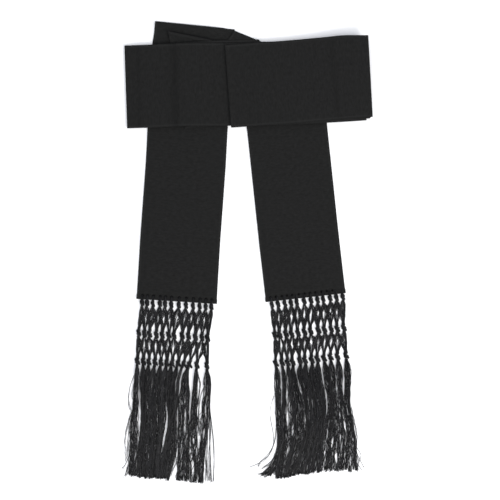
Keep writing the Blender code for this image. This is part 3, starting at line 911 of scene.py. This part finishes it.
BUNCHES = {
    name: [dict(zip(BUNCH_COLUMNS, row)) for row in table]
    for name, table in (("left", LEFT_BUNCHES), ("right", RIGHT_BUNCHES))
}


def place_on_floor(hem, x, q, z):
    """World place of threads from their place along the hem, below it and over the floor."""
    hem_x, hem_y, tilt = hem
    u = tilted(tilt)
    return np.stack([hem_x + u[0] * x + u[1] * q, hem_y + u[1] * x - u[0] * q, z], axis=-1)


print("bunches:", len(LEFT_BUNCHES) + len(RIGHT_BUNCHES))

# %% [markdown]
# ## The knotted net
#
# In a knot the two halves of a bunch twist round each other; between the knots each half
# opens to a flat ribbon and crosses to the other side of the joint with its neighbour. So
# each thread mixes two shapes: a twist round the bunch's middle, and a place in the ribbon.
# A number from 0 to 1 along the fringe says which of them holds, and a random place in its
# half keeps the threads apart. The tables run down the fringe from the hem.

# %% Net tables
THREADS_IN_HALF = 18
FRONT_THREADS = 7
NET_LEVELS = np.concatenate([
    np.linspace(0.2, 14.0, 10), (17.0, 20.5, 24.0, 28.0, 32.0, 36.0, 40.0, 43.5),
    np.linspace(46.5, 59.0, 9), (62.0, 65.5, 69.0, 73.0, 77.0, 81.0, 85.0, 87.5),
    np.linspace(90.0, 103.0, 9),
])
HEM_LEVELS = np.array([-6.6, -5.6, -4.0, -1.8])
RIBBON = (
    (0, 0.0), (9.0, 0.0), (18.0, 1.0), (34, 1.0), (47.0, 0.0), (57.0, 0.0), (63, 1.0),
    (76, 1.0), (89.5, 0.0), (103, 0.0),
)
TWIST = ((-7, 1.3), (1, 1.25), (14, 0.0), (46.5, 0.0), (58.5, -2.0), (90.0, -2.0), (102.0, -4.0))
GIRTH = (
    (-7, 0.45), (0, 0.90), (3.0, 1.20), (7, 1.30), (10, 1.00), (14.5, 0.85), (46, 0.88),
    (49.5, 1.42), (55.5, 1.42), (58.5, 0.88), (89, 0.88), (92.5, 1.42), (98.5, 1.42),
    (102, 0.80),
)
HEIGHT = (
    (-7, 0.6), (-6.2, 1.6), (-5.4, 2.9), (-0.6, 3.0), (2.0, 2.5), (8, 2.4), (15, 1.7),
    (22, 1.2), (34, 1.2), (46, 1.7), (52.5, 2.3), (59, 1.7), (68, 1.2), (80, 1.2), (90, 1.7),
    (96, 2.3), (103, 2.0),
)
ROW_LEVELS = (16, 46, 60, 92, 102)
CROSSINGS = ({"start": 14, "end": 27}, {"start": 59, "end": 71})
CROSSING_LENGTH = 11
SLITS = ({"start": 17.0, "end": 37.0}, {"start": 60.5, "end": 83.0})
SLIT_WIDTHS = {"left": (-0.4, 1.5), "right": (-0.1, 1.5)}
HALF_OFFSET = 1.15
HALF_SIZE = 1.6
KNOT_FLATNESS = 0.85
EDGE_HALF = 3.0
RIBBON_THICKNESS = 0.55
LOOSE_SHARE = 0.14
LOOSE_SWING = 1.1
TIGHT_SWING = 0.25
LOWEST = 0.45


def at_level(table, q):
    place, value = np.array(table, float).T
    return np.interp(q, place, value)


def row_centre(bunch, q):
    """Where a bunch lies along the hem at each level."""
    row_a, row_b, row_c = bunch["row_a"], bunch["row_b"], bunch["row_c"]
    return np.interp(q, ROW_LEVELS, (row_a, row_b, row_b, row_c, row_c + bunch["lean"]))


print("levels of the net:", len(NET_LEVELS))

# %% Net threads
def half_bunch(rng, bunches, index, side, levels, count, slit_widths):
    """Paths of the threads of one half of a bunch, as along, below and height arrays."""
    q = np.broadcast_to(levels, (count, len(levels))).copy()
    partner = index + side
    has_partner = 0 <= partner < len(bunches)
    own = row_centre(bunches[index], q)
    other = row_centre(bunches[partner], q) if has_partner else own
    crossed_ab, crossed_bc = [
        smooth_step((q - rng.uniform(row["start"], row["end"], count)[:, None]) / CROSSING_LENGTH)
        for row in CROSSINGS
    ]
    crossed = np.clip(crossed_ab - crossed_bc, 0, 1) if has_partner else np.zeros_like(q)
    in_own_knot = crossed < 0.5
    centre = np.where(in_own_knot, own, other)
    knot_side = np.where(in_own_knot, side, -side) if has_partner else np.full_like(q, side)

    radius = np.sqrt(rng.uniform(0, 1, count))[:, None]
    place = rng.uniform(0, 2 * np.pi, count)[:, None]
    angle = np.pi * at_level(TWIST, q)
    girth = at_level(GIRTH, q)
    local_x = radius * np.cos(place + angle) * HALF_SIZE
    local_z = radius * np.sin(place + angle) * HALF_SIZE
    knot_x = centre + girth * (knot_side * HALF_OFFSET * np.cos(angle) + local_x)
    knot_z = girth * KNOT_FLATNESS * (knot_side * HALF_OFFSET * np.sin(angle) + local_z)

    near = rng.uniform(0, 1, count)[:, None]
    far = rng.uniform(0, 1, count)[:, None]
    opening = np.zeros_like(q)
    if has_partner:
        for slit in SLITS:
            share = np.clip((q - slit["start"]) / (slit["end"] - slit["start"]), 0, 1)
            opening += slit_widths[slit["start"]] * np.sin(np.pi * share)
        joint = (own + other) / 2
        room = np.maximum(abs(other - own) / 2 - opening, 0.5)
        ribbon_x = joint - side * room * near * (1 - crossed) + side * room * far * crossed
    else:
        ribbon_x = own + side * EDGE_HALF * near
    ribbon_z = rng.normal(0, RIBBON_THICKNESS, count)[:, None] + 0.15 * np.sin(q / 5 + place)
    is_loose = rng.uniform(0, 1, count) < LOOSE_SHARE
    swing = np.where(is_loose, LOOSE_SWING, TIGHT_SWING)[:, None]
    ribbon_x = ribbon_x + swing * np.sin(q / 6.5 + place * 3)
    ribbon = smooth_step(at_level(RIBBON, q))
    x = knot_x * (1 - ribbon) + ribbon_x * ribbon
    z = at_level(HEIGHT, q) + knot_z * (1 - ribbon) + ribbon_z * ribbon
    return x, q, np.maximum(z, LOWEST)


def net_groups(rng, name):
    groups = []
    for index in range(len(BUNCHES[name])):
        for side in (-1, 1):
            slit_widths = {slit["start"]: rng.uniform(*SLIT_WIDTHS[name]) for slit in SLITS}
            for count, levels in (
                (FRONT_THREADS, np.concatenate([HEM_LEVELS, NET_LEVELS])),
                (THREADS_IN_HALF - FRONT_THREADS, NET_LEVELS),
            ):
                half = half_bunch(rng, BUNCHES[name], index, side, levels, count, slit_widths)
                paths = place_on_floor(HEMS[name], *half)
                groups.append((paths, rng.uniform(0, 1, count), THREAD_RADIUS))
    return groups


SEEDS = {"left": 11, "right": 23}
rngs = {name: np.random.default_rng(SEEDS[name]) for name in HEMS}
nets = {
    name: thread_mesh(name + "_fringe_net", net_groups(rngs[name], name), name + "_fringe")
    for name in HEMS
}

# %% [markdown]
# ## Knots
#
# Each knot is tied with a turn of thread round the bunch. The turn lies aslant: it is
# higher on the left than on the right, which gives each knot its leaning, double-bellied
# outline. Six threads side by side make one turn, and they start and end inside the bunch,
# where no end shows. The knots under the hem are a little smaller.

# %% Knot wraps
KNOTS = (
    {"row": "row_a", "level": 6.0, "wide": 3.4, "slant": 2.4},
    {"row": "row_b", "level": 52.6, "wide": 4.2, "slant": 3.3},
    {"row": "row_c", "level": 95.8, "wide": 4.2, "slant": 3.3},
)
WRAP_THREADS = 6
WRAP_PITCH = 0.72
WRAP_TURNS = 1.15
WRAP_RINGS = 19
WRAP_HIGH = 1.9
WRAP_END_TUCK = 0.45
WRAP_BELLY = 0.16


def knot_groups(rng, name):
    turn = np.linspace(0, 1, WRAP_RINGS)
    tight = 1 - WRAP_END_TUCK * np.clip(abs(turn - 0.5) * 2 - 0.85, 0, 0.15) / 0.15
    number = (np.arange(WRAP_THREADS) - (WRAP_THREADS - 1) / 2)[:, None]
    belly = 1 - WRAP_BELLY * (number / 2.5) ** 2
    groups = []
    for bunch in BUNCHES[name]:
        for knot in KNOTS:
            start = rng.uniform(1.3, 1.7) * np.pi
            angle = start + 2 * np.pi * WRAP_TURNS * turn
            size = rng.uniform(0.92, 1.08)
            x = bunch[knot["row"]] + knot["wide"] * size * tight * belly * np.cos(angle)
            q = knot["level"] + knot["slant"] * np.cos(angle) + number * WRAP_PITCH
            z = at_level(HEIGHT, knot["level"]) + WRAP_HIGH * size * tight * belly * np.sin(angle)
            q = q + rng.uniform(-0.8, 0.8)
            paths = place_on_floor(HEMS[name], x, q, np.maximum(z, LOWEST))
            groups.append((paths, rng.uniform(0, 1, WRAP_THREADS) ** 1.5, THREAD_RADIUS))
    return groups


knots = {
    name: thread_mesh(name + "_fringe_knots", knot_groups(rngs[name], name), name + "_fringe")
    for name in HEMS
}

# %% [markdown]
# ## Where the tassels part
#
# Below the last knots the threads hang loose and spread to an almost closed curtain. Where
# two tassels part, the floor shows between them. A parting is a line down the curtain: how
# far below the hem, its place along the hem, and half of its opening there. The partings
# that can be seen are in the tables, and the others share the room between them. The first
# and the last parting are the outer edges.

# %% Partings
LEFT_PARTINGS = {
    0: ((112, -56.3, 0), (132, -56.6, 0), (170, -57.3, 0), (201, -57.7, 0), (232, -57.3, 0),
        (272, -55.5, 0)),
    1: ((112, -49.4, 0.4), (130, -48.6, 0.4), (147, -47.2, 1.1), (164, -45.7, 2.0),
        (185, -45.4, 2.0), (205, -43.8, 1.4), (216, -43.2, 0.5), (230, -43.6, 0),
        (272, -45.0, 0)),
    2: ((112, -41.0, 0), (145, -42.0, 0.4), (165, -40.6, 0.5), (183, -39.3, 0.2),
        (272, -36.0, 0)),
    4: ((112, -24.5, 0.4), (126, -25.6, 0.7), (140, -24.5, 0.3), (150, -24.0, 0),
        (272, -20.5, 0)),
    6: ((112, -6.9, 0), (150, -7.0, 0.2), (160, -5.4, 1.3), (175, -3.1, 2.0), (190, -3.1, 2.0),
        (206, -5.0, 2.0), (217, -6.3, 2.0), (232, -7.8, 1.5), (248, -8.6, 0.8), (260, -8.0, 0),
        (272, -7.0, 0)),
    8: ((112, 9.2, 0.3), (118, 6.9, 1.0), (139, 6.9, 1.0), (147, 6.6, 0.1), (160, 6.0, 0),
        (272, 0.5, 0)),
    9: ((112, 14.5, 1.0), (118, 13.4, 1.0), (135, 13.6, 1.1), (150, 12.6, 0.4),
        (160, 11.5, 0.9), (174, 13.1, 1.3), (190, 13.6, 1.1), (207, 13.8, 0.4),
        (220, 16.2, 0.6), (232, 15.6, 1.6), (247, 14.4, 2.9), (260, 12.8, 3.4),
        (272, 11.4, 4.6)),
    10: ((112, 29.9, 3.9), (116, 29.5, 3.9), (136, 31.2, 2.4), (155, 31.0, 1.5),
         (174, 31.4, 1.1), (190, 31.8, 0.2), (200, 32.0, 0), (272, 33.5, 0)),
    11: ((112, 45.0, 4.6), (116, 44.8, 4.7), (136, 45.4, 4.1), (155, 45.1, 2.7),
         (174, 46.0, 2.4), (190, 46.8, 2.1), (212, 47.7, 1.3), (231, 48.2, 0.2),
         (245, 48.4, 0), (272, 48.9, 0)),
    12: ((112, 58.6, 0), (118, 60.2, 0), (155, 60.6, 0), (174, 61.0, 0), (190, 60.0, 0),
         (212, 57.6, 0), (231, 56.9, 0), (260, 58.2, 0), (272, 57.8, 0)),
}
RIGHT_PARTINGS = {
    0: ((112, -59.4, 0), (136, -60.4, 0), (174, -65.2, 0), (212, -66.8, 0), (225, -67.8, 0),
        (240, -75.5, 0), (255, -88.0, 0), (268, -98.0, 0)),
    1: ((112, -50.4, 1.2), (120, -50.9, 1.3), (141, -52.7, 1.3), (162, -55.4, 0.9),
        (172, -56.0, 0.1), (182, -56.8, 0), (212, -60.0, 0), (268, -76.0, 0)),
    2: ((112, -43.0, 0.3), (124, -43.5, 0.8), (145, -45.2, 1.2), (163, -46.5, 1.6),
        (182, -48.4, 1.7), (198, -50.2, 0.9), (210, -52.0, 0), (268, -69.0, 0)),
    4: ((112, -27.6, 1.2), (126, -25.6, 0.9), (140, -23.5, 0.8), (155, -20.8, 0.8),
        (177, -20.9, 0.8), (198, -21.8, 0.6), (210, -24.0, 0), (268, -49.2, 0)),
    8: ((112, 12.5, 1.2), (127, 12.2, 1.3), (144, 13.5, 1.3), (161, 14.7, 1.2),
        (178, 12.8, 0.9), (190, 11.0, 0.2), (205, 6.5, 0), (268, -6.6, 0)),
    10: ((112, 33.2, 1.0), (140, 32.2, 1.2), (158, 30.4, 1.0), (168, 29.4, 0.2),
         (210, 28.0, 0), (268, 19.2, 0)),
    11: ((112, 45.4, 1.8), (125, 44.2, 1.5), (140, 42.6, 1.2), (154, 41.0, 0.7),
         (162, 40.2, 0.1), (210, 42.0, 0), (268, 33.7, 0)),
    12: ((112, 56.2, 0), (130, 55.4, 0), (156, 49.8, 0), (171, 49.5, 0), (195, 51.3, 0),
         (226, 51.7, 0), (272, 51.4, 0)),
}
PARTINGS = {"left": LEFT_PARTINGS, "right": RIGHT_PARTINGS}
PARTING_OVERLAP = 0.5
TASSEL_LEVELS = np.array([101.0, 111, 122, 136, 150, 165, 180, 196, 212, 230, 250, 272])
OUTER_HALF = 4.7
KNOT_HALF = 1.8
OPENED_SHARE = 0.85


def tassel_tops(name):
    """Where the tassels start along the hem, just below the last knots."""
    return np.array([bunch["row_c"] + bunch["lean"] for bunch in BUNCHES[name]])


def parting_lines(name):
    """Place and half opening of all thirteen partings at the levels."""
    tops = tassel_tops(name)
    middles = (tops[1:] + tops[:-1]) / 2
    natural = np.concatenate([[tops[0] - OUTER_HALF], middles, [tops[-1] + OUTER_HALF]])
    known = sorted(PARTINGS[name])
    place = np.zeros((len(natural), len(TASSEL_LEVELS)))
    half = np.zeros_like(place)
    for index in known:
        below, along, opening = np.array(PARTINGS[name][index], float).T
        place[index] = np.interp(TASSEL_LEVELS, below, along)
        half[index] = np.interp(TASSEL_LEVELS, below, opening)
    for first, last in zip(known, known[1:]):
        for index in range(first + 1, last):
            share = (natural[index] - natural[first]) / (natural[last] - natural[first])
            place[index] = place[first] + (place[last] - place[first]) * share
    return place, np.where(half > 0, half, -PARTING_OVERLAP)


def tassel_edges(name):
    """Left and right edge of each tassel at the levels, from its knot to its tip."""
    place, half = parting_lines(name)
    edges = np.stack([place[:-1] + half[:-1], place[1:] - half[1:]], axis=2)
    at_knot = tassel_tops(name)[:, None] + np.array([-KNOT_HALF, KNOT_HALF])
    edges[:, 1] = at_knot + (edges[:, 1] - at_knot) * OPENED_SHARE
    edges[:, 0] = at_knot
    return edges


print("partings measured:", {name: len(rows) for name, rows in PARTINGS.items()})

# %% [markdown]
# ## Thin gaps inside the tassels
#
# Some gaps run through the middle of a tassel. They are made the other way round: the
# threads are laid first and are then pushed aside along the gap, most where it is widest.
# A few threads are left behind and cross it, as they do in real silk. Each gap in the table
# has half of its width, and its route as places below the hem and along it.

# %% Gaps
GAPS = {
    "left": (
        (1.2, ((226, -50.6), (240, -48.0), (252, -45.5))),
        (0.8, ((158, -34.0), (172, -33.2))),
        (0.8, ((226, -27.0), (240, -28.0), (254, -30.0))),
        (0.8, ((140, 21.5), (165, 22.5))),
        (1.0, ((201, 38.0), (220, 40.9))),
        (1.0, ((190, 54.8), (214, 53.8))),
        (1.5, ((221, 33.1), (235, 36.9), (251, 40.9))),
        (1.2, ((236, 39.0), (262, 43.0))),
    ),
    "right": (
        (1.5, ((179, -41.1), (202, -42.4), (224, -45.8))),
        (1.0, ((215, -49.0), (240, -54.0))),
        (1.5, ((197, 19.1), (226, 16.1), (249, 9.4))),
        (1.2, ((173, 36.8), (205, 37.7), (225, 40.0))),
        (1.1, ((242, 5.6), (262, -2.9))),
        (1.2, ((235, 19.1), (260, 21.0))),
        (1.2, ((232, 31.3), (260, 33.4))),
        (1.0, ((190, 28.0), (215, 27.0))),
    ),
}
GAP_FADE = 2.6
CROSSING_SHARE = 0.12
CROSSING_PUSH = 0.15


def part_threads(rng, x, q, gaps):
    """Push the threads aside along each gap; a few stray ones still cross it."""
    count = len(x)
    for half, route in gaps:
        place, along = np.array(route, float).T
        share = np.clip((q - place[0]) / (place[-1] - place[0]), 0, 1)
        width = half * np.sqrt(np.sin(np.pi * share))
        away = x - np.interp(q, place, along)
        nearest = np.argmin(abs(q - (place[0] + place[-1]) / 2), axis=1)
        side = np.sign(away[np.arange(count), nearest])[:, None]
        crosses = rng.uniform(0, 1, count) < CROSSING_SHARE
        pushed = np.where(crosses, CROSSING_PUSH, 1.0)[:, None]
        x = x + side * pushed * width * np.exp(-abs(away) / GAP_FADE)
    return x


print("thin gaps:", {name: len(rows) for name, rows in GAPS.items()})

# %% [markdown]
# ## The tassel threads
#
# A tassel hangs in a few strands, and each thread keeps near its own strand. Strand and
# thread both get a share of the tassel's width at every level, which a smooth line joins.
# A few threads stray across their neighbours instead. Silk that was knotted keeps a crimp,
# so three waves of different lengths are added, stronger towards the tips, which are cut
# unevenly.

# %% Tassel threads
TASSEL_SHARES = np.linspace(0, 1, 47)
STRANDS = 6
WAVES = (
    {"shortest": 34, "longest": 70, "size": 0.75},
    {"shortest": 17, "longest": 30, "size": 0.50},
    {"shortest": 10, "longest": 16, "size": 0.26},
)
FULL_TASSEL = 46
ACROSS_SHARE = 0.12
ACROSS_REACH = 0.30
STRAND_WANDER = 0.045
THREAD_WANDER = 0.05
PILE_TOP = 2.7
PILE_DROP = 1.3
PILE_HALF = 1.25


def smooth_through(shares, q_points, x_points):
    """Smooth lines through each thread's own points, read at shares of its length."""
    slopes = np.gradient(x_points, axis=1) / np.gradient(q_points, axis=1)
    start, end = q_points[:, :1], q_points[:, -1:]
    q = start + (end - start) * shares
    x = np.zeros_like(q)
    last = q_points.shape[1] - 2
    for index in range(last + 1):
        q0, x0, s0 = [values[:, index, None] for values in (q_points, x_points, slopes)]
        q1, x1, s1 = [values[:, index + 1, None] for values in (q_points, x_points, slopes)]
        t = (q - q0) / (q1 - q0)
        here = (t >= 0) & ((t < 1) | (index == last))
        x = np.where(here, curve_between(t, q1 - q0, x0, s0, x1, s1), x)
    return q, x


def crimp(rng, q, grown, loose):
    """Sideways waves of every thread, stronger towards the tips and in thin tassels."""
    count = len(q)
    sideways = np.zeros_like(q)
    for wave in WAVES:
        phase = rng.uniform(0, 2 * np.pi, (count, 1))
        length = rng.uniform(wave["shortest"], wave["longest"], (count, 1))
        swing = wave["size"] * (0.35 + 0.75 * grown) * rng.uniform(0.2, 1.0, (count, 1)) * loose
        sideways += swing * np.sin(2 * np.pi * q / length + phase)
    return sideways * np.clip((q - 102) / 8, 0, 1)


def tassel_group(rng, name, bunch, edges):
    count = bunch["threads"]
    strand = rng.integers(0, STRANDS, count)
    share = (strand + 0.5) / STRANDS + rng.normal(0, 0.06, count)
    spread = np.clip((TASSEL_LEVELS - TASSEL_LEVELS[0]) / 60, 0, 1)
    wander = rng.normal(0, STRAND_WANDER, (STRANDS, len(edges))) * spread
    loosen = rng.normal(0, THREAD_WANDER, (count, len(edges))) * (0.5 + spread)
    shares = np.clip(share[:, None] + wander[strand] + loosen, 0, 1)
    across = rng.uniform(0, 1, count) < ACROSS_SHARE
    shares += across[:, None] * rng.normal(0, ACROSS_REACH, (count, len(edges))) * spread
    x_points = edges[:, 0] + (edges[:, 1] - edges[:, 0]) * shares
    cut = rng.uniform(-2.2, 1.6, STRANDS)[strand] - abs(rng.normal(0, 1.6, count)) + 1.6
    q_points = TASSEL_LEVELS + np.zeros((count, 1))
    q_points[:, -1] = bunch["length"] + cut
    q, x = smooth_through(TASSEL_SHARES, q_points, x_points)
    grown = np.clip((q - 106) / 165, 0, 1)
    loose = 1 + (FULL_TASSEL - count) / 26
    x = part_threads(rng, x + crimp(rng, q, grown, loose), q, GAPS[name])
    layer = rng.uniform(-1, 1, (count, 1)) * (PILE_HALF - 0.4 * grown)
    phase = rng.uniform(0, 2 * np.pi, (count, 1))
    z = PILE_TOP - PILE_DROP * grown + layer + 0.35 * np.sin(2 * np.pi * q / 19 + phase)
    paths = place_on_floor(HEMS[name], x, q, np.maximum(z, LOWEST))
    return paths, rng.uniform(0, 1, count) ** 1.3, THREAD_RADIUS


print("levels of a tassel:", len(TASSEL_LEVELS))

# %% [markdown]
# ## Stray threads
#
# Some threads have come away from the tassels and lie beside them in long loose curves, and
# thin wisps hang beside the outer ones. They are drawn one by one. Each row of the table has a
# number of fine threads, how far they spread, and their route as places below the hem and
# along it.

# %% Stray threads and tassel pieces
STRAYS = {
    "left": (
        (4, 1.2, ((113, -57.0), (134, -63.4), (152, -64.8), (165, -62.8), (174, -57.6))),
        (4, 2.0, ((173, -57.6), (186, -62.0), (206, -65.2), (221, -66.2), (236, -63.3),
                  (248, -61.0))),
        (3, 1.2, ((174, -57.6), (194, -59.1), (217, -60.7), (234, -60.4))),
        (3, 1.2, ((216, -53.8), (236, -56.0), (255, -62.5), (264, -66.7))),
        (8, 2.2, ((224, -51.0), (241, -52.8), (259, -57.5), (272, -62.4))),
        (8, 2.2, ((226, -49.0), (243, -49.8), (259, -51.7), (270, -54.8))),
        (4, 1.0, ((108, 56.0), (128, 61.1), (157, 61.0), (178, 64.3), (209, 69.5),
                  (239, 72.5), (272, 74.0))),
        (7, 2.2, ((157, 61.0), (186, 62.8), (213, 64.5), (243, 66.5), (272, 69.2))),
        (9, 2.2, ((171, 59.0), (202, 60.0), (228, 59.8), (248, 61.0), (272, 64.4))),
        (6, 1.0, ((109, 39.7), (124, 44.1), (139, 43.6), (157, 43.1))),
        (6, 1.0, ((127, 50.5), (139, 46.4), (156, 44.3), (176, 45.1), (202, 47.9))),
        (5, 1.6, ((231, 20.5), (243, 15.5), (260, 8.9), (267, 5.1))),
        (4, 1.2, ((235, 24.6), (250, 20.8), (262, 17.7), (268, 15.5))),
    ),
    "right": (
        (2, 0.6, ((138, -60.9), (154, -70.2), (169, -74.4), (186, -73.8), (201, -72.3),
                  (218, -73.5), (228, -79.6), (243, -97.4), (249, -115.1))),
        (4, 1.2, ((110, -58.4), (129, -61.4), (161, -64.1), (187, -66.2), (208, -69.4),
                  (224, -74.9), (238, -88.2), (243, -98.4), (252, -101.6))),
        (5, 1.6, ((191, -65.4), (217, -67.6), (233, -72.6), (245, -81.5), (253, -96.3))),
        (14, 3.0, ((217, -65.5), (234, -67.4), (246, -73.0), (260, -85.3), (263, -99.6))),
        (18, 3.2, ((230, -65.8), (246, -69.8), (260, -80.0), (265, -91.3))),
        (5, 0.8, ((102, -57.9), (117, -60.9), (129, -62.3), (153, -62.8))),
        (2, 0.5, ((236, 51.3), (249, 52.5), (271, 60.4))),
        (6, 1.5, ((238, 49.0), (255, 49.2), (273, 49.4))),
    ),
}
STRAY_RADIUS = 0.23
STRAY_RINGS = 30
STRAY_SHAKE = 1.6
SMOOTHINGS = 4


def stray_groups(rng, name):
    shares = np.linspace(0, 1, STRAY_RINGS)
    z = 0.6 + 0.4 * np.sin(shares * 9) ** 2
    groups = []
    for threads, spread, route in STRAYS[name]:
        q_points, x_points = np.array(route, float).T
        place = np.linspace(0, 1, len(q_points))
        for _ in range(threads):
            shake_x = x_points + rng.normal(0, spread, len(x_points)) * (0.3 + 0.7 * place)
            shake_q = q_points + rng.normal(0, STRAY_SHAKE, len(q_points))
            x = np.interp(shares, place, shake_x)
            q = np.interp(shares, place, shake_q)
            for _ in range(SMOOTHINGS):
                for line in (x, q):
                    line[1:-1] = (line[:-2] + 2 * line[1:-1] + line[2:]) / 4
            paths = place_on_floor(HEMS[name], x, q, z)[None]
            groups.append((paths, rng.uniform(0, 1, 1), STRAY_RADIUS))
    return groups


for name in HEMS:
    groups = [
        tassel_group(rngs[name], name, bunch, edges)
        for bunch, edges in zip(BUNCHES[name], tassel_edges(name))
    ]
    groups += stray_groups(rngs[name], name)
    thread_mesh(name + "_fringe_tassels", groups, name + "_fringe")
